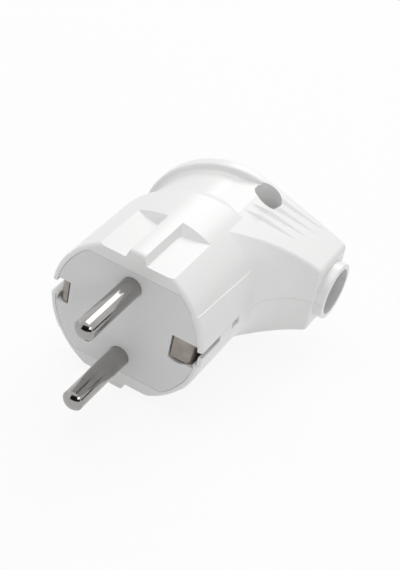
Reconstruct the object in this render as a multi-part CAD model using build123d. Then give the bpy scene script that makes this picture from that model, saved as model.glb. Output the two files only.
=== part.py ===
from build123d import *
import math
import os

# Side-entry two-pole plug with side earth contacts.
# X runs out through the cable inlet, Y runs from the face to the back, Z runs along the pin line.
# The origin is the middle of the face, between the pins.

# Barrel of the housing
body_radius = 18.5
rim_round = 0.8
rim_lip = 0.1
land_height = 0.12
land_front_half = 10.0
land_back_half = 8.7
land_length = 26.0
crease_at_axis = 27.1
waist_step = 2.1
waist_taper = 4.1
taper_over = 0.3
waist_blend = 1.0
room_taper_start = 20.0
room_taper_end = 25.0
wall = 2.0
cavity_start = 17.2
seam_gap = 0.06

# Guide pockets beside the ribs at the top and the bottom
pocket_depth = 2.25
pocket_length = 15.4
pocket_ramp = 2.0
rib_top_half = 1.75
rib_base_half = 2.5

# Flange at the back, which leans with the back face
flange_tilt = 0.22
flange_thickness = 3.5
flange_round = 0.6
back_at_axis = 44.6
back_at_left = 40.6
back_at_neck = 47.4
back_round = 1.3

# Side neck
neck_reach = 28.5
neck_slope = 21.7
neck_slope_offset = 0.2
flare_start = 21.0
flare_radius = 12.5
flare_inset = 0.1
ramp_end = 8.0
ramp_drop = 2.2
neck_end_round = 1.4
neck_front_round = 0.8
neck_split = 14.0

# Cable inlet collar
inlet_centre = 40.4
inlet_radius = 6.75
inlet_bore_radius = 5.5
inlet_throat_radius = 6.2
inlet_lip = 0.2
inlet_length = 2.2
inlet_round = 0.3

# Grip grooves across the neck's slopes
groove_depth = 0.52
groove_fall = 0.24
groove_climb = 0.44
groove_pitch = 3.15
groove_first = 31.55
groove_lean = 0.365
groove_lean_step = 0.03
groove_count = 4
groove_start = 8.3
groove_peak = 12.0
groove_end = 20.8
groove_end_step = 1.1

# Channel for the earth contacts in the sides of the housing
channel_half = 1.9
channel_length = 16.2
channel_open = 11.6
lip_start = 0.3
lip_top = 0.35
lip_end = 7.8
channel_depth = 6.0
recess_start = 13.1
recess_depth = 0.65
ledge_start = 0.3
ledge_root = 0.9
ledge_gap = 0.37
ledge_foot_gap = 0.1

# Pin carrier
carrier_rim = 1.15
carrier_flat_margin = 0.25
carrier_fit = 0.07
plate_thickness = 3.4
carrier_groove = 2.2
carrier_groove_depth = 1.0
carrier_flange = 2.0
carrier_block_half = 6.6
carrier_block_end = 15.0
notch_half = 2.95
notch_right_depth = 7.5
notch_left_depth = 4.5
notch_bulge = 0.6
notch_bulge_width = 4.1

# Pins
pin_radius = 2.4
pin_length = 19.0
pin_inset = 9.0
pin_dome = 1.2
pin_neck_step = 0.5
pin_face_step = 0.1
pin_fit = 0.05
terminal_radius = 3.6
terminal_start = 9.0
terminal_end = 22.4
stop_gap = 0.2
stop_thickness = 1.6
stop_half_width = 4.0
stop_depth = 6.5
wire_bore_radius = 1.5
wire_bore_depth = 8.0

# Terminal screws in the pins
terminal_screw_radius = 1.5
terminal_head_radius = 2.4
terminal_head_height = 1.6
terminal_place = 19.9
terminal_head_gap = 0.3
thread_fit = 0.05
slot_width = 0.7
slot_depth = 0.8

# Earth strip
strip_thickness = 1.0
strip_half_width = 2.7
strip_inset = 2.0
strip_recess = 0.3
strip_bend = 1.6
strip_bar_front = 15.1
strip_end_gap = 0.4

# Earth terminal
earth_screw_radius = 1.75
earth_head_radius = 3.2
earth_head_height = 2.0
nut_plate_half = 3.4
nut_plate_thickness = 2.2
washer_half = 3.6
washer_thickness = 1.0
washer_round = 0.8
earth_tip_room = 0.6

# Housing screw and nut
screw_inset = 8.9
screw_y = 41.0
screw_well_radius = 3.25
screw_head_radius = 2.5
screw_head_height = 2.0
screw_seat = 5.0
screw_radius = 1.5
boss_radius = 4.15
nut_flats = 5.5
nut_height = 2.4
nut_seat = -6.0
nut_fit = 0.1
screw_fit = 0.15

# Cable clamp
clamp_inset = 2.0
clamp_y = 37.4
clamp_spacing = 9.8
clamp_width = 5.0
clamp_thickness = 2.4
clamp_overhang = 1.9
clamp_seat = 3.2
clamp_boss_radius = 1.6
clamp_screw_radius = 1.0
clamp_head_radius = 1.8
clamp_head_height = 1.5
clamp_screw_length = 8.0
clamp_tip_gap = 0.5

reach = 60.0

# Places that follow the barrel's radius, and the pin's neck, which follows its shank
pin_neck_radius = pin_radius - pin_neck_step
inner_radius = body_radius - wall
waist_radius = body_radius - waist_step
pocket_floor = body_radius - pocket_depth
ramp_height = body_radius - ramp_drop
pin_half = body_radius - pin_inset
carrier_radius = body_radius - carrier_rim
carrier_flat = pin_half + terminal_radius + carrier_flat_margin
notch_right = body_radius - notch_right_depth
notch_left = body_radius - notch_left_depth
strip_reach = body_radius - strip_inset
screw_x = body_radius - screw_inset
clamp_x = body_radius - clamp_inset


def along_y(face, start, end):
    """Prism of a face drawn in X and Z, from one Y to another."""
    return Plane.XZ.offset(-end) * extrude(face, end - start)


def along_x(face, half):
    """Prism of a face drawn in Y and Z, equally far to both sides."""
    return extrude(Plane.YZ * face, half, both=True)


def prism_z(face, half):
    """Prism of a face drawn in X and Y, equally far up and down."""
    return extrude(face, half, both=True)


def rod(start, direction, radius, length):
    """Round rod from a point along a direction."""
    return Plane(origin=start, z_dir=direction) * Cylinder(
        radius, length, align=(Align.CENTER, Align.CENTER, Align.MIN)
    )


def outline(points):
    """Closed face through straight runs between points."""
    return make_face(Polyline(*points, close=True))


def block(x0, x1, y0, y1, z0, z1):
    """Box between two corners."""
    return Pos(x0, y0, z0) * Box(
        x1 - x0, y1 - y0, z1 - z0, align=(Align.MIN, Align.MIN, Align.MIN)
    )


# Height of the neck's slope over the middle plane
slope = math.radians(neck_slope)
slope_distance = body_radius - neck_slope_offset


def slope_height(x):
    return (slope_distance - x * math.sin(slope)) / math.cos(slope)


# Back face, a shallow arc seen from above
def back_region(inset):
    arc = ThreePointArc(
        (-body_radius, back_at_left - inset),
        (0, back_at_axis - inset),
        (neck_reach, back_at_neck - inset),
    )
    rim = Polyline(
        (neck_reach, back_at_neck - inset),
        (reach, back_at_neck - inset),
        (reach, -reach),
        (-reach, -reach),
        (-reach, back_at_left - inset),
        (-body_radius, back_at_left - inset),
    )
    return make_face([arc, rim])


def turned(radius, front, back):
    """Round bar about the plug's axis with a rounded front edge."""
    face = outline([(0, front), (radius, front), (radius, back), (0, back)])
    corner = face.vertices().sort_by_distance((radius, front))[0]
    return revolve(fillet(corner, rim_round), Axis.Y)


def leaning_region(at_axis):
    """All that lies in front of a plane with the flange's lean, seen from above."""
    return outline(
        [
            (-reach, at_axis - reach * flange_tilt),
            (reach, at_axis + reach * flange_tilt),
            (reach, -reach),
            (-reach, -reach),
        ]
    )


# Outer form: the barrel, which tapers behind a leaning crease to the plain waist
barrel_back = back_at_axis - wall
taper_depth = waist_step + taper_over
taper_length = waist_taper * taper_depth / waist_step
barrel = turned(body_radius, 0, barrel_back) & prism_z(
    leaning_region(crease_at_axis + taper_length), reach
)
taper_end = barrel.faces().filter_by(GeomType.PLANE).sort_by(Axis.Y)[-1]
barrel = chamfer(taper_end.edges(), taper_depth, taper_length, reference=taper_end)
waist = along_y(Circle(waist_radius), cavity_start, reach) & prism_z(back_region(wall / 2), reach)

# Outer form: the raised land on each side, which ends in a small lip at the rim
land_face = outline(
    [
        (-rim_lip, land_front_half),
        (land_length, land_back_half),
        (land_length, -land_back_half),
        (-rim_lip, -land_front_half),
    ]
)
land = turned(body_radius + land_height, -rim_lip, land_length) & along_x(land_face, reach)
land = land & prism_z(leaning_region(crease_at_axis), reach)


def neck_face(inset):
    """Section of the neck across the plug: a short ramp and then a slope, above and below."""
    drop = inset / math.cos(slope)
    end = neck_reach - inset
    face = outline(
        [
            (0, ramp_height - inset),
            (ramp_end, slope_height(ramp_end) - drop),
            (end, slope_height(end) - drop),
            (end, drop - slope_height(end)),
            (ramp_end, drop - slope_height(ramp_end)),
            (0, inset - ramp_height),
        ]
    )
    return fillet(face.vertices().sort_by(Axis.X)[-2:], neck_end_round)


def neck_form(inset, back_inset):
    """Flare turned about the plug's axis, cut to the neck's section and to the back face."""
    centre_r = body_radius + flare_radius
    radius = flare_radius + inset
    start_r = centre_r - radius - flare_inset
    middle = radius * math.sqrt(0.5)
    top = flare_start + radius
    flare = make_face(
        [
            ThreePointArc(
                (start_r, flare_start),
                (centre_r - middle, flare_start + middle),
                (centre_r, top),
            ),
            Polyline(
                (centre_r, top),
                (reach, top),
                (reach, reach),
                (0, reach),
                (0, flare_start),
                (start_r, flare_start),
            ),
        ]
    )
    form = revolve(flare, Axis.Y) & along_y(neck_face(inset), 0, reach)
    return form & prism_z(back_region(back_inset), reach)


# Outer form: the back slab, which is the flange and the back of the neck in one outline
flange_front_axis = back_at_axis - flange_thickness
flange_plan = outline(
    [
        (-reach, flange_front_axis - reach * flange_tilt),
        (ramp_end, flange_front_axis + ramp_end * flange_tilt),
        (reach, flange_front_axis + ramp_end * flange_tilt),
        (reach, reach),
        (-reach, reach),
    ]
)
tangent_x = slope_distance * math.sin(slope)
tangent_z = slope_distance * math.cos(slope)
end_z = slope_height(neck_reach)
slab_face = make_face(
    [
        ThreePointArc((tangent_x, -tangent_z), (-slope_distance, 0), (tangent_x, tangent_z)),
        Line((tangent_x, tangent_z), (neck_reach, end_z)),
        Line((neck_reach, end_z), (neck_reach, -end_z)),
        Line((neck_reach, -end_z), (tangent_x, -tangent_z)),
    ]
)
slab_face = fillet(slab_face.vertices().sort_by(Axis.X)[-2:], neck_end_round)
slab = along_y(slab_face, 0, reach)
slab = slab & prism_z(flange_plan, reach) & prism_z(back_region(0), reach)
back_face = slab.faces().sort_by(lambda f: f.center().Y)[-1]
slab = fillet(back_face.edges(), back_round)
flange = slab & block(-reach, ramp_end, -reach, reach, -reach, reach)
slab = slab & block(ramp_end, reach, -reach, reach, -reach, reach)
flange_front = flange.faces().filter_by(GeomType.PLANE).sort_by(Axis.Y)[0]
flange_edges = flange_front.edges().filter_by(lambda e: e.center().X < ramp_end - seam_gap)
flange = fillet(flange_edges, flange_round)

# Outer form: the front of the neck, with its long front edges softened where they are sharp
neck = neck_form(0, 2 * back_round)
neck_root = neck & block(-reach, neck_split, -reach, reach, -reach, reach)
neck_end = neck & block(neck_split, reach, -reach, reach, -reach, reach)
flare_face = neck_end.faces().filter_by(GeomType.TORUS).sort_by(lambda f: f.area)[-1]
front_edges = flare_face.edges().filter_by(
    lambda e: e.center().X > neck_split + seam_gap and e.center().Y > flare_start
)
neck_end = fillet(front_edges, neck_front_round)
head = slab + flange + neck_root + neck_end

# Collar round the cable inlet
collar_root = neck_reach - wall
collar = rod((collar_root, inlet_centre, 0), (1, 0, 0), inlet_radius, wall + inlet_length)
collar_rim = collar.edges().filter_by(GeomType.CIRCLE).sort_by(Axis.X)[-1]
collar = fillet(collar_rim, inlet_round)

outer = barrel + waist + land + head + collar

# Soft corner round the waist, where it meets the flange and the neck
waist_edges = outer.edges().filter_by(
    lambda e: e.center().Y > crease_at_axis + waist_taper
    and all(abs(math.hypot(p.X, p.Z) - waist_radius) < seam_gap for p in (e @ 0.1, e @ 0.5, e @ 0.9))
)
outer = fillet(waist_edges, waist_blend)

# Guide pockets with a flat floor and a conical end, on both sides of a tapered rib
pocket_top = body_radius + wall
ramp_rate = pocket_ramp / pocket_depth
pocket_end = outline(
    [
        (0, -reach),
        (pocket_top, -reach),
        (pocket_top, pocket_length + ramp_rate * wall),
        (inner_radius, pocket_length - ramp_rate * wall),
        (0, pocket_length - ramp_rate * wall),
    ]
)
rib_slope = (rib_base_half - rib_top_half) / pocket_depth
rib_over = rib_top_half - rib_slope * (pocket_top - body_radius)
rib_section = outline(
    [
        (-rib_base_half, pocket_floor),
        (rib_base_half, pocket_floor),
        (rib_over, pocket_top),
        (-rib_over, pocket_top),
    ]
)
pocket = block(-reach, reach, -reach, reach, pocket_floor, reach) & revolve(pocket_end, Axis.Y)
pocket = pocket - along_y(rib_section, -reach, reach)
outer = outer - pocket - mirror(pocket, Plane.XY)

# Grip grooves with a long fall and a shorter climb, deepest near the screw and run out both ways
groove_section = outline([(0, 0), (wall / groove_climb, wall), (-wall / groove_fall, wall)])
flange_zone = prism_z(flange_plan, reach) & block(-reach, ramp_end, -reach, reach, -reach, reach)


def groove_foot(number, x, depth):
    lean = groove_lean - number * groove_lean_step
    return Vector(
        x - depth * math.sin(slope),
        groove_first + number * groove_pitch + lean * (x - groove_start),
        slope_height(x) - depth * math.cos(slope),
    )


def groove_run(near, far):
    course = (far - near).normalized()
    section_plane = Plane(origin=near - course * reach, x_dir=(0, 1, 0), z_dir=course)
    return section_plane * extrude(groove_section, 2 * reach)


for number in range(groove_count):
    near_end = groove_foot(number, groove_start, 0)
    deepest = groove_foot(number, groove_peak, groove_depth)
    far_end = groove_foot(number, groove_end + number * groove_end_step, 0)
    groove = groove_run(near_end, deepest) & groove_run(deepest, far_end)
    groove = groove - flange_zone
    outer = outer - groove - mirror(groove, Plane.XY)


# Room inside the housing
def carrier_face(grow):
    flat = carrier_flat + grow
    return Circle(carrier_radius + grow) & Rectangle(2 * body_radius, 2 * flat)


room_face = outline(
    [
        (0, cavity_start),
        (inner_radius, cavity_start),
        (inner_radius, room_taper_start),
        (waist_radius - wall, room_taper_end),
        (waist_radius - wall, barrel_back),
        (0, barrel_back),
    ]
)
room = revolve(room_face, Axis.Y) & prism_z(back_region(wall), reach)
room = room + neck_form(wall, wall)
room = room & block(-reach, neck_reach - wall, cavity_start, reach, -reach, reach)
front_room = along_y(carrier_face(carrier_fit), -wall, cavity_start)
inlet = rod((neck_reach - wall, inlet_centre, 0), (1, 0, 0), inlet_bore_radius, reach)
throat_start = neck_reach - 2 * wall
throat_length = 2 * wall - inlet_lip
throat = rod((throat_start, inlet_centre, 0), (1, 0, 0), inlet_throat_radius, throat_length)
shell = outer - room - front_room - inlet - throat

# Tongue that holds the carrier, boss round the housing screw, and stops behind the pins
tongue_start = plate_thickness + carrier_fit
tongue_end = plate_thickness + carrier_groove - carrier_fit
tongue = along_y(
    carrier_face(carrier_fit + seam_gap) - carrier_face(carrier_fit - carrier_groove_depth),
    tongue_start,
    tongue_end,
)
side_clearance = notch_half + carrier_groove
tongue = tongue - block(-reach, reach, -reach, reach, -side_clearance, side_clearance)
boss = rod((screw_x, screw_y, -reach), (0, 0, 1), boss_radius, 2 * reach)
stop_start = terminal_end + stop_gap
stop = block(
    -stop_half_width, stop_half_width, stop_start, stop_start + stop_thickness, stop_depth, reach
)
shell = shell + tongue + ((boss + stop + mirror(stop, Plane.XY)) & outer)

# Screw well, screw hole and nut seat
well = rod((screw_x, screw_y, screw_seat), (0, 0, 1), screw_well_radius, reach)
screw_hole = rod((screw_x, screw_y, -reach), (0, 0, 1), screw_radius + screw_fit, 2 * reach)
nut_face = RegularPolygon(nut_flats / 2 + nut_fit, 6, major_radius=False, rotation=30)
nut_room = Pos(screw_x, screw_y, nut_seat) * extrude(nut_face, -reach)
shell = shell - well - screw_hole - nut_room

# Sides of the housing: outside the middle block that the channels leave alone
channel_inner = body_radius - channel_depth
sides = block(-reach, reach, -reach, reach, -reach, reach)
sides = sides - block(-channel_inner, channel_inner, -reach, reach, -reach, reach)

# Upper half, with an open channel along each side for the earth contacts
half_gap = seam_gap / 2
upper_channel = block(-reach, reach, -reach, channel_length, -channel_half, channel_half)
upper_shell = shell & block(-reach, reach, -reach, reach, half_gap, reach)
upper_shell = upper_shell - (upper_channel & sides)

# Lower half: a shorter channel, and a tongue that closes the upper one behind it, with a recess
lower_channel = block(-reach, reach, -reach, channel_open, -channel_half, channel_half)
lower_shell = shell & block(-reach, reach, -reach, reach, -reach, -half_gap)
lower_shell = lower_shell - (lower_channel & sides)
tongue_top = channel_half - seam_gap
tongue_back = channel_length - seam_gap
side_tongue = block(-reach, reach, channel_open, tongue_back, -channel_half, tongue_top)
lower_shell = lower_shell + (shell & side_tongue & sides)
recess_floor = body_radius - recess_depth
recess = block(recess_floor, reach, recess_start, tongue_back, half_gap, reach)
lower_shell = lower_shell - recess - mirror(recess, Plane.YZ)

# Ledges under the channels, which stand in from the wall towards the earth strip
ledge = block(
    strip_reach + ledge_gap,
    body_radius - ledge_root,
    ledge_start,
    channel_open,
    ledge_foot_gap - notch_half,
    -channel_half,
)
lower_shell = lower_shell + ledge + mirror(ledge, Plane.YZ)

# Lip along the channel on the cable side, which leaves a slit and then closes the channel
lip_inner = body_radius - ledge_root
lip = block(lip_inner, reach, lip_start, channel_open, -channel_half, lip_top)
lip = lip + block(lip_inner, reach, lip_end, channel_open, -channel_half, tongue_top)
lower_shell = lower_shell + (lip & outer)

# Bosses for the cable clamp, standing on the floor of the lower half
clamp_places = (clamp_y - clamp_spacing / 2, clamp_y + clamp_spacing / 2)
for place in clamp_places:
    post = rod((clamp_x, place, -reach), (0, 0, 1), clamp_boss_radius, reach + clamp_seat) & outer
    lower_shell = lower_shell + post
    lower_shell = lower_shell - rod(
        (clamp_x, place, clamp_seat + clamp_thickness - clamp_screw_length - clamp_tip_gap),
        (0, 0, 1),
        clamp_screw_radius + thread_fit,
        reach,
    )

# Pin carrier: face plate, groove for the tongue, flange and terminal block
groove_end_y = plate_thickness + carrier_groove
flange_end = groove_end_y + carrier_flange
pin_carrier = along_y(carrier_face(0), 0, plate_thickness)
pin_carrier = pin_carrier + along_y(carrier_face(-carrier_groove_depth), 0, flange_end)
pin_carrier = pin_carrier + along_y(carrier_face(0), groove_end_y, flange_end)
pin_carrier = pin_carrier + block(
    -carrier_block_half,
    carrier_block_half,
    groove_end_y,
    carrier_block_end,
    -carrier_flat,
    carrier_flat,
)


# Side notches that show the earth contacts, the right one with a bulge along its foot
def notch_faces(half, gap):
    right = notch_right + gap
    bulge_middle = notch_right + notch_bulge_width / 2
    bulge_end = notch_right + notch_bulge_width - gap
    left = -notch_left - gap
    right_face = make_face(
        [
            ThreePointArc((right, -half), (bulge_middle, gap - half - notch_bulge), (bulge_end, -half)),
            Polyline((bulge_end, -half), (reach, -half), (reach, half), (right, half), (right, -half)),
        ]
    )
    left_face = outline([(left, half), (-reach, half), (-reach, -half), (left, -half)])
    return right_face, left_face


for face in notch_faces(notch_half, 0):
    pin_carrier = pin_carrier - along_y(face, -reach, reach)

# Pin seats, moulded round the necks of the pins, and the pocket for the earth nut plate
for centre in (pin_half, -pin_half):
    pin_carrier = pin_carrier - rod(
        (0, pin_face_step, centre), (0, -1, 0), pin_radius + pin_fit, reach
    )
    pin_carrier = pin_carrier - rod(
        (0, -reach, centre), (0, 1, 0), pin_neck_radius + pin_fit, 2 * reach
    )
    pin_carrier = pin_carrier - rod(
        (0, terminal_start, centre), (0, 1, 0), terminal_radius + pin_fit, reach
    )
nut_plate_front = strip_bar_front - nut_plate_thickness
pocket_half = nut_plate_half + nut_fit
pin_carrier = pin_carrier - block(
    -pocket_half, pocket_half, nut_plate_front - nut_fit, reach, -strip_half_width, strip_half_width
)
pin_carrier = pin_carrier - rod(
    (0, nut_plate_front - earth_tip_room, 0), (0, 1, 0), earth_screw_radius + screw_fit, reach
)

# Contact pins: a turned shank with a domed tip, a neck in the carrier, and a wire terminal
dome_start = pin_dome - pin_length
dome_radius = (pin_radius**2 + pin_dome**2) / (2 * pin_dome)
dome_middle = dome_radius * math.sin(math.asin(pin_radius / dome_radius) / 2)
dome_drop = dome_radius - math.sqrt(dome_radius**2 - dome_middle**2)
pin_profile = make_face(
    [
        ThreePointArc(
            (0, -pin_length), (dome_middle, dome_drop - pin_length), (pin_radius, dome_start)
        ),
        Polyline(
            (pin_radius, dome_start),
            (pin_radius, 0),
            (pin_neck_radius, 0),
            (pin_neck_radius, terminal_start),
            (terminal_radius, terminal_start),
            (terminal_radius, terminal_end),
            (0, terminal_end),
            (0, -pin_length),
        ),
    ]
)
pin = revolve(pin_profile, Axis.Y)
pin = pin - rod((0, terminal_end, 0), (0, -1, 0), wire_bore_radius, wire_bore_depth)
pin = pin - rod((0, terminal_place, 0), (0, 0, 1), terminal_screw_radius + thread_fit, reach)
line_pin = Pos(0, 0, pin_half) * pin
neutral_pin = mirror(line_pin, Plane.XY)


def slotted_screw(seat, direction, head_radius, head_height, radius, length):
    """Cheese-head screw: head in front of its seat, shank along the direction."""
    head = rod(seat, direction * -1, head_radius, head_height)
    shank = rod(seat, direction, radius, length)
    slot = Plane(origin=seat - direction * head_height, z_dir=direction) * Box(
        2 * head_radius + slot_width,
        slot_width,
        slot_depth,
        align=(Align.CENTER, Align.CENTER, Align.MIN),
    )
    return head + shank - slot


# Terminal screws, one in each pin, driven from outside
terminal_seat = pin_half + terminal_radius + terminal_head_gap
line_terminal_screw = slotted_screw(
    Vector(0, terminal_place, terminal_seat),
    Vector(0, 0, -1),
    terminal_head_radius,
    terminal_head_height,
    terminal_screw_radius,
    terminal_radius,
)
neutral_terminal_screw = mirror(line_terminal_screw, Plane.XY)

# Earth strip: one band bent round the carrier, open at the front between its two contact lips
strip_back = strip_bar_front + strip_thickness
strip_plan = outline(
    [
        (-strip_reach, strip_recess),
        (strip_reach, strip_recess),
        (strip_reach, strip_back),
        (-strip_reach, strip_back),
    ]
)
strip_plan = fillet(strip_plan.vertices(), strip_bend)
strip_inner = outline(
    [
        (strip_thickness - strip_reach, strip_recess + strip_thickness),
        (strip_reach - strip_thickness, strip_recess + strip_thickness),
        (strip_reach - strip_thickness, strip_bar_front),
        (strip_thickness - strip_reach, strip_bar_front),
    ]
)
strip_inner = fillet(strip_inner.vertices(), strip_bend - strip_thickness)
earth_strip = prism_z(strip_plan - strip_inner, strip_half_width)
strip_middle = (strip_recess + strip_bar_front) / 2
strip_opening = block(-reach, reach, -reach, strip_middle, -reach, reach)
for face in notch_faces(strip_half_width, strip_end_gap):
    strip_opening = strip_opening - along_y(face, -2 * reach, reach)
earth_strip = earth_strip - strip_opening
earth_strip = earth_strip - rod((0, 0, 0), (0, 1, 0), earth_screw_radius + screw_fit, reach)

# Earth terminal: nut plate in the carrier's pocket, clamp washer and screw on the strip
earth_nut_plate = block(
    -nut_plate_half,
    nut_plate_half,
    nut_plate_front,
    strip_bar_front,
    nut_fit - strip_half_width,
    strip_half_width - nut_fit,
)
earth_nut_plate = earth_nut_plate - rod(
    (0, 0, 0), (0, 1, 0), earth_screw_radius + thread_fit, reach
)
washer_seat = strip_back + washer_thickness
earth_clamp_washer = block(
    -washer_half, washer_half, strip_back, washer_seat, -washer_half, washer_half
)
earth_clamp_washer = fillet(earth_clamp_washer.edges().filter_by(Axis.Y), washer_round)
earth_clamp_washer = earth_clamp_washer - rod(
    (0, 0, 0), (0, 1, 0), earth_screw_radius + screw_fit, reach
)
earth_terminal_screw = slotted_screw(
    Vector(0, washer_seat, 0),
    Vector(0, -1, 0),
    earth_head_radius,
    earth_head_height,
    earth_screw_radius,
    washer_seat - nut_plate_front,
)

# Housing screw from above into the nut below, which hold the two halves together
housing_screw = slotted_screw(
    Vector(screw_x, screw_y, screw_seat),
    Vector(0, 0, -1),
    screw_head_radius,
    screw_head_height,
    screw_radius,
    screw_seat - nut_seat + nut_height,
)
housing_nut = Pos(screw_x, screw_y, nut_seat) * extrude(
    RegularPolygon(nut_flats / 2, 6, major_radius=False, rotation=30), -nut_height
)
housing_nut = housing_nut - rod(
    (screw_x, screw_y, -reach), (0, 0, 1), screw_radius + thread_fit, reach
)

# Cable clamp: a bar over the cable on its two posts, with two self-tapping screws
clamp_top = clamp_seat + clamp_thickness
cable_clamp_bar = block(
    clamp_x - clamp_width / 2,
    clamp_x + clamp_width / 2,
    clamp_places[0] - clamp_overhang,
    clamp_places[1] + clamp_overhang,
    clamp_seat,
    clamp_top,
)
clamp_screws = []
for place in clamp_places:
    cable_clamp_bar = cable_clamp_bar - rod(
        (clamp_x, place, 0), (0, 0, 1), clamp_screw_radius + screw_fit, reach
    )
    clamp_screws.append(
        slotted_screw(
            Vector(clamp_x, place, clamp_top),
            Vector(0, 0, -1),
            clamp_head_radius,
            clamp_head_height,
            clamp_screw_radius,
            clamp_screw_length,
        )
    )

nodes = {
    "upper_shell": upper_shell,
    "lower_shell": lower_shell,
    "pin_carrier": pin_carrier,
    "line_pin": line_pin,
    "neutral_pin": neutral_pin,
    "line_terminal_screw": line_terminal_screw,
    "neutral_terminal_screw": neutral_terminal_screw,
    "earth_strip": earth_strip,
    "earth_nut_plate": earth_nut_plate,
    "earth_clamp_washer": earth_clamp_washer,
    "earth_terminal_screw": earth_terminal_screw,
    "housing_screw": housing_screw,
    "housing_nut": housing_nut,
    "cable_clamp_bar": cable_clamp_bar,
    "front_clamp_screw": clamp_screws[0],
    "back_clamp_screw": clamp_screws[1],
}
os.makedirs("parts", exist_ok=True)
for name, solid in nodes.items():
    export_step(solid, f"parts/{name}.step")
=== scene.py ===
import bmesh
import bpy
from mathutils import Matrix, Vector


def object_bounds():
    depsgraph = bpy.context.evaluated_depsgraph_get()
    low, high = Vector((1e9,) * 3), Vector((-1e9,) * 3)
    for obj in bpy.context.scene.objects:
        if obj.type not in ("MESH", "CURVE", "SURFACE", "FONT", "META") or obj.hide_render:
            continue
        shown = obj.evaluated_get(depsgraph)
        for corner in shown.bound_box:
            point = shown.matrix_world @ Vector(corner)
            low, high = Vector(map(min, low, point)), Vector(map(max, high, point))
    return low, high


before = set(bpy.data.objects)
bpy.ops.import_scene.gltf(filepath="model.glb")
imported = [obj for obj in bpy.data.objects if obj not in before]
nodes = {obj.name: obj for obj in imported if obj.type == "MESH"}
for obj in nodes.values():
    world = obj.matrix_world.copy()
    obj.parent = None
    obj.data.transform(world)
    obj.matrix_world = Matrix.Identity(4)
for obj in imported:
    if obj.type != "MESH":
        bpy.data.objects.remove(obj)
cad_low, cad_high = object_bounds()


# Pin carrier: the flat face of the plug and the terminal block behind it, one moulding in
# hard white plastic. Its groove is held by a tongue in the rim of both housing halves.
plastic_ior = 1.5
drift_scale = 30
drift_low = 0.3
drift_high = 0.7
grain_scale = 1600
grain_detail = 2
grain_height = 0.00004


def moulded_plastic(name, pale, shade, smooth, rough, grain):
    """Moulded plastic: slow drift of colour and gloss, and a fine grain from the tool."""
    material = bpy.data.materials.new(name)
    material.use_nodes = True
    tree = material.node_tree
    shader = tree.nodes["Principled BSDF"]
    shader.inputs["IOR"].default_value = plastic_ior
    place = tree.nodes.new("ShaderNodeTexCoord")
    drift = tree.nodes.new("ShaderNodeTexNoise")
    drift.inputs["Scale"].default_value = drift_scale
    drift.inputs["Detail"].default_value = 0
    tint = tree.nodes.new("ShaderNodeValToRGB")
    tint.color_ramp.elements[0].position = drift_low
    tint.color_ramp.elements[1].position = drift_high
    tint.color_ramp.elements[0].color = (*shade, 1)
    tint.color_ramp.elements[1].color = (*pale, 1)
    polish = tree.nodes.new("ShaderNodeMapRange")
    polish.inputs["From Min"].default_value = drift_low
    polish.inputs["From Max"].default_value = drift_high
    polish.inputs["To Min"].default_value = smooth
    polish.inputs["To Max"].default_value = rough
    tool_marks = tree.nodes.new("ShaderNodeTexNoise")
    tool_marks.inputs["Scale"].default_value = grain_scale
    tool_marks.inputs["Detail"].default_value = grain_detail
    relief = tree.nodes.new("ShaderNodeBump")
    relief.inputs["Strength"].default_value = grain
    relief.inputs["Distance"].default_value = grain_height
    link = tree.links.new
    link(place.outputs["Object"], drift.inputs["Vector"])
    link(place.outputs["Object"], tool_marks.inputs["Vector"])
    link(drift.outputs["Fac"], tint.inputs["Fac"])
    link(drift.outputs["Fac"], polish.inputs["Value"])
    link(tint.outputs["Color"], shader.inputs["Base Color"])
    link(polish.outputs["Result"], shader.inputs["Roughness"])
    link(tool_marks.outputs["Fac"], relief.inputs["Height"])
    link(relief.outputs["Normal"], shader.inputs["Normal"])
    return material


def finish_node(name, material):
    """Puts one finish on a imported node."""
    mesh = nodes[name].data
    mesh.materials.clear()
    mesh.materials.append(material)


carrier_plastic = moulded_plastic(
    "carrier_plastic",
    pale=(0.77, 0.77, 0.775),
    shade=(0.75, 0.75, 0.755),
    smooth=0.36,
    rough=0.4,
    grain=0.2,
)
finish_node("pin_carrier", carrier_plastic)


# Contact pins: turned brass with bright nickel plating and a domed tip. The carrier is moulded
# round the neck of each pin, and the shank shows the fine rings of the lathe.
line_detail = 3
line_low = 0.3
line_high = 0.7
line_height = 0.00002
tone_scale = 240
tone_detail = 4
tone_low = 0.35
tone_high = 0.65


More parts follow.
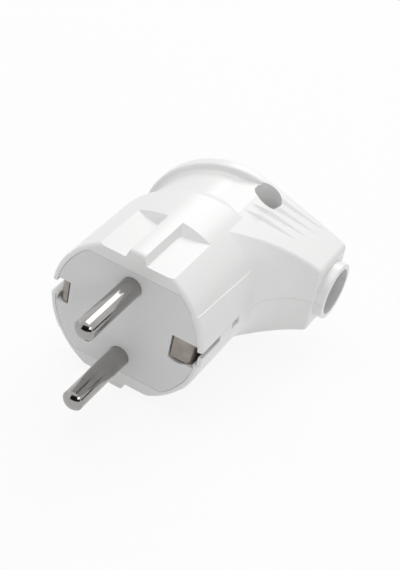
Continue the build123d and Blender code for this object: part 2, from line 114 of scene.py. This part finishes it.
def plated_metal(name, bright, dull, smooth, rough, stretch, relief_strength):
    """Plated metal: fine drawn or turned lines, with a drift in tone and gloss."""
    material = bpy.data.materials.new(name)
    material.use_nodes = True
    tree = material.node_tree
    shader = tree.nodes["Principled BSDF"]
    shader.inputs["Metallic"].default_value = 1
    place = tree.nodes.new("ShaderNodeTexCoord")
    run = tree.nodes.new("ShaderNodeMapping")
    run.inputs["Scale"].default_value = stretch
    lines = tree.nodes.new("ShaderNodeTexNoise")
    lines.inputs["Scale"].default_value = 1
    lines.inputs["Detail"].default_value = line_detail
    drift = tree.nodes.new("ShaderNodeTexNoise")
    drift.inputs["Scale"].default_value = tone_scale
    drift.inputs["Detail"].default_value = tone_detail
    tint = tree.nodes.new("ShaderNodeValToRGB")
    tint.color_ramp.elements[0].position = tone_low
    tint.color_ramp.elements[1].position = tone_high
    tint.color_ramp.elements[0].color = (*dull, 1)
    tint.color_ramp.elements[1].color = (*bright, 1)
    polish = tree.nodes.new("ShaderNodeMapRange")
    polish.inputs["From Min"].default_value = line_low
    polish.inputs["From Max"].default_value = line_high
    polish.inputs["To Min"].default_value = smooth
    polish.inputs["To Max"].default_value = rough
    relief = tree.nodes.new("ShaderNodeBump")
    relief.inputs["Strength"].default_value = relief_strength
    relief.inputs["Distance"].default_value = line_height
    link = tree.links.new
    link(place.outputs["Object"], run.inputs["Vector"])
    link(place.outputs["Object"], drift.inputs["Vector"])
    link(run.outputs["Vector"], lines.inputs["Vector"])
    link(drift.outputs["Fac"], tint.inputs["Fac"])
    link(lines.outputs["Fac"], polish.inputs["Value"])
    link(tint.outputs["Color"], shader.inputs["Base Color"])
    link(polish.outputs["Result"], shader.inputs["Roughness"])
    link(lines.outputs["Fac"], relief.inputs["Height"])
    link(relief.outputs["Normal"], shader.inputs["Normal"])
    return material


pin_nickel = plated_metal(
    "pin_nickel",
    bright=(0.4, 0.389, 0.375),
    dull=(0.35, 0.341, 0.33),
    smooth=0.1,
    rough=0.15,
    stretch=(0, 7000, 0),
    relief_strength=0.06,
)
finish_node("line_pin", pin_nickel)
finish_node("neutral_pin", pin_nickel)

# Terminal screws, earth nut plate, washer and screw: zinc-plated steel hardware inside the
# plug. The screws clamp the wires in the pins and on the earth strip.
screw_steel = plated_metal(
    "screw_steel",
    bright=(0.56, 0.56, 0.55),
    dull=(0.48, 0.48, 0.47),
    smooth=0.25,
    rough=0.4,
    stretch=(900, 900, 900),
    relief_strength=0.2,
)
for name in (
    "line_terminal_screw",
    "neutral_terminal_screw",
    "earth_nut_plate",
    "earth_clamp_washer",
    "earth_terminal_screw",
):
    finish_node(name, screw_steel)

# Earth strip: one band of nickel-plated sheet metal bent round the carrier, with its two
# ends showing as contacts in the side notches. The earth screw holds it on the block.
strip_nickel = plated_metal(
    "strip_nickel",
    bright=(0.34, 0.31, 0.28),
    dull=(0.25, 0.225, 0.2),
    smooth=0.26,
    rough=0.4,
    stretch=(300, 300, 5000),
    relief_strength=0.2,
)
finish_node("earth_strip", strip_nickel)

# Housing halves: two glossy white mouldings that meet at the seam through the cable inlet.
# They hold the carrier by its groove, and one screw and nut in the neck pull them together.
housing_plastic = moulded_plastic(
    "housing_plastic",
    pale=(0.86, 0.86, 0.855),
    shade=(0.85, 0.85, 0.845),
    smooth=0.28,
    rough=0.3,
    grain=0.12,
)
finish_node("upper_shell", housing_plastic)
finish_node("lower_shell", housing_plastic)

# Housing screw and nut: zinc-plated steel, the screw deep in its well in the upper slope of
# the neck and the nut in a hexagonal seat below.
finish_node("housing_screw", screw_steel)
finish_node("housing_nut", screw_steel)

# Cable clamp: a moulded bar over the cord just inside the neck, pulled down on two posts of
# the lower half by two small steel screws.
clamp_plastic = moulded_plastic(
    "clamp_plastic",
    pale=(0.66, 0.66, 0.65),
    shade=(0.62, 0.62, 0.61),
    smooth=0.38,
    rough=0.48,
    grain=0.3,
)
finish_node("cable_clamp_bar", clamp_plastic)
finish_node("front_clamp_screw", screw_steel)
finish_node("back_clamp_screw", screw_steel)

# Floor: a wide plain white sheet under the plug, which keeps its soft shadow. The camera and
# bright metal see it near white, as the background is, and from below it is clear.
floor_half = 3
paper_white = (0.88, 0.88, 0.88, 1)
paper_roughness = 0.9
glow_share = 0.88

floor_mesh = bpy.data.meshes.new("floor")
floor_form = bmesh.new()
bmesh.ops.create_grid(floor_form, x_segments=1, y_segments=1, size=floor_half)
bmesh.ops.translate(floor_form, verts=floor_form.verts, vec=(0, 0, cad_low.z))
floor_form.to_mesh(floor_mesh)
floor_form.free()
floor = bpy.data.objects.new("floor", floor_mesh)
bpy.context.scene.collection.objects.link(floor)


def seen_directly(tree):
    """One where the camera, a reflection or a clear material sees the surface."""
    path = tree.nodes.new("ShaderNodeLightPath")
    seen = path.outputs["Is Camera Ray"]
    for kind in ("Is Glossy Ray", "Is Transmission Ray"):
        either = tree.nodes.new("ShaderNodeMath")
        either.operation = "MAXIMUM"
        tree.links.new(seen, either.inputs[0])
        tree.links.new(path.outputs[kind], either.inputs[1])
        seen = either.outputs["Value"]
    return seen


floor_paper = bpy.data.materials.new("floor_paper")
floor_paper.use_nodes = True
paper = floor_paper.node_tree
paper_shader = paper.nodes["Principled BSDF"]
paper_shader.inputs["Base Color"].default_value = paper_white
paper_shader.inputs["Roughness"].default_value = paper_roughness
paper_glow = paper.nodes.new("ShaderNodeEmission")
paper_glow.inputs["Strength"].default_value = 1
paper_share = paper.nodes.new("ShaderNodeMath")
paper_share.operation = "MULTIPLY"
paper_share.inputs[1].default_value = glow_share
paper_mix = paper.nodes.new("ShaderNodeMixShader")
paper.links.new(seen_directly(paper), paper_share.inputs[0])
paper.links.new(paper_share.outputs["Value"], paper_mix.inputs["Fac"])
paper.links.new(paper_shader.outputs["BSDF"], paper_mix.inputs[1])
paper.links.new(paper_glow.outputs["Emission"], paper_mix.inputs[2])
paper_side = paper.nodes.new("ShaderNodeNewGeometry")
paper_clear = paper.nodes.new("ShaderNodeBsdfTransparent")
paper_sides = paper.nodes.new("ShaderNodeMixShader")
paper.links.new(paper_side.outputs["Backfacing"], paper_sides.inputs["Fac"])
paper.links.new(paper_mix.outputs["Shader"], paper_sides.inputs[1])
paper.links.new(paper_clear.outputs["BSDF"], paper_sides.inputs[2])
paper.links.new(paper_sides.outputs["Shader"], paper.nodes["Material Output"].inputs["Surface"])
floor_mesh.materials.append(floor_paper)

# Studio: an even white surround, and broad soft lamps above and behind, so that the top is
# brightest and the face lies in open shade. Three weaker ones lift the sides and the pins.
surround_dim = 0.44
plug_middle = (0, 0.02, 0)
neck_root = (0.01, 0.02, 0)
face_middle = (0, 0, 0)

world = bpy.data.worlds.new("studio")
bpy.context.scene.world = world
world.use_nodes = True
surround = world.node_tree
surround_light = surround.nodes["Background"]
surround_light.inputs["Color"].default_value = (1, 1, 1, 1)
surround_level = surround.nodes.new("ShaderNodeMapRange")
surround_level.inputs["To Min"].default_value = surround_dim
surround_level.inputs["To Max"].default_value = 1
surround.links.new(seen_directly(surround), surround_level.inputs["Value"])
surround.links.new(surround_level.outputs["Result"], surround_light.inputs["Strength"])


def soft_lamp(name, place, aim, width, power):
    """A square soft box that faces a point on the plug."""
    lamp = bpy.data.lights.new(name, "AREA")
    lamp.size = width
    lamp.energy = power
    holder = bpy.data.objects.new(name, lamp)
    bpy.context.scene.collection.objects.link(holder)
    holder.location = place
    holder.rotation_euler = (Vector(aim) - Vector(place)).to_track_quat("-Z", "Y").to_euler()


soft_lamp("overhead_lamp", (-0.1, -0.02, 0.62), plug_middle, width=0.45, power=1.22)
soft_lamp("back_lamp", (-0.05, 0.55, 0.48), plug_middle, width=0.42, power=1.6)
soft_lamp("neck_side_lamp", (0.6, -0.05, 0.25), neck_root, width=0.4, power=0.3)
soft_lamp("left_lamp", (-0.55, -0.1, 0.35), plug_middle, width=0.4, power=0.2)
soft_lamp("front_lamp", (0.4, -0.48, 0.31), face_middle, width=0.18, power=0.35)

# Dark cards: flat black sheets that only reflections see, a large one in front and a low one
# behind the neck, so that the bright pins show dark bands. They give no shade and are in no view.
card_black = bpy.data.materials.new("card_black")
card_black.use_nodes = True
card_shader = card_black.node_tree.nodes["Principled BSDF"]
card_shader.inputs["Base Color"].default_value = (0.01, 0.01, 0.01, 1)
card_shader.inputs["Roughness"].default_value = 1


def dark_card(name, place, half_width, half_height):
    """An upright black sheet that faces the plug."""
    form = bmesh.new()
    bmesh.ops.create_grid(form, x_segments=1, y_segments=1, size=1)
    bmesh.ops.scale(form, verts=form.verts, vec=(half_width, half_height, 1))
    facing = Vector((-place[0], -place[1], 0)).to_track_quat("Z", "Y").to_matrix()
    bmesh.ops.rotate(form, verts=form.verts, matrix=facing)
    bmesh.ops.translate(form, verts=form.verts, vec=place)
    mesh = bpy.data.meshes.new(name)
    form.to_mesh(mesh)
    form.free()
    mesh.materials.append(card_black)
    card = bpy.data.objects.new(name, mesh)
    bpy.context.scene.collection.objects.link(card)
    card.visible_camera = False
    card.visible_diffuse = False
    card.visible_transmission = False
    card.visible_shadow = False


dark_card("front_card", (0.15, -0.7, 0.28), half_width=0.6, half_height=0.3)
dark_card("neck_card", (0.6, 0.35, 0.05), half_width=0.4, half_height=0.07)

# Camera: above the face and to the cable side, as in the photograph.
camera_place = Vector((0.095727, -0.204387, 0.190513))
camera_right = Vector((0.8575, 0.4846, 0.1730))
camera_down = Vector((0.4255, -0.4788, -0.7679))
camera_ahead = Vector((-0.2893, 0.7321, -0.6168))
camera_lens = bpy.data.cameras.new("photo_camera")
camera_lens.sensor_width = 36
camera_lens.lens = 89.27
camera_lens.shift_x = -0.0027
camera_lens.shift_y = 0.0006
camera_lens.clip_start = 0.01
camera = bpy.data.objects.new("photo_camera", camera_lens)
bpy.context.scene.collection.objects.link(camera)
camera_turn = Matrix((camera_right, -camera_down, -camera_ahead)).transposed()
camera.matrix_world = Matrix.Translation(camera_place) @ camera_turn.to_4x4()
bpy.context.scene.camera = camera
bpy.context.scene.view_settings.view_transform = "Standard"
